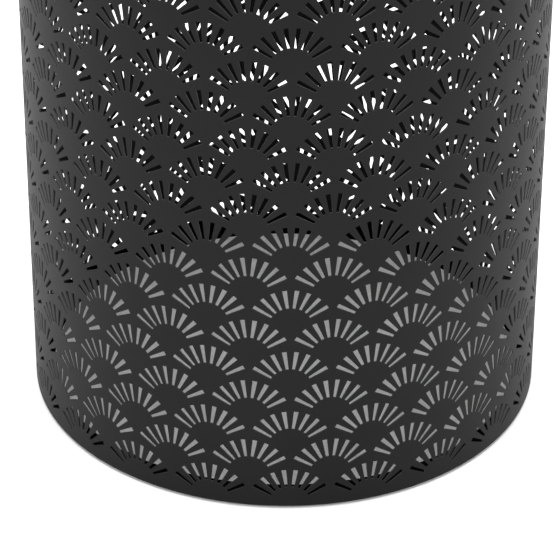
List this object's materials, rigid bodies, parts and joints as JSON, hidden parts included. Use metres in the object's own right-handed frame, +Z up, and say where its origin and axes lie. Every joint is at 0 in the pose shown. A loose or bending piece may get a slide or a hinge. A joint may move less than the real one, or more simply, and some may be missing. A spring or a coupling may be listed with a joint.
{
  "type": "umbrella stand",
  "caption": "Tall round open-topped stand for umbrellas: a perforated sheet-metal tube with a rim ring, a flanged base, foot pads and a lift-out drip tray.",
  "frame": {"origin": "on the floor under the four foot pads, on the axis of the tube", "axes": "+Z up along the tube's axis, out of the open top; the tube's seam is at the back, on +Y, and -Y is the front"},
  "size_m": [0.1949, 0.195, 0.49],
  "materials": {
    "powder_coat": "satin black powder coat",
    "pad_rubber": "matt foam rubber",
    "tray_plastic": "light grey, finely textured"
  },
  "bodies": {
    "stand": {"shell": "powder_coat", "seam_weld": "powder_coat", "rim_ring": "powder_coat", "rim_welds": "powder_coat", "base_pan": "powder_coat", "base_welds": "powder_coat", "foot_pad_1": "pad_rubber", "foot_pad_2": "pad_rubber", "foot_pad_3": "pad_rubber", "foot_pad_4": "pad_rubber"},
    "tray": {"drip_tray": "tray_plastic"}
  },
  "joints": [
    {"name": "tray_lift", "type": "slide", "parent": "stand", "child": "tray", "axis": [0, 0, 1], "range_m": [0, 0.5]}
  ]
}
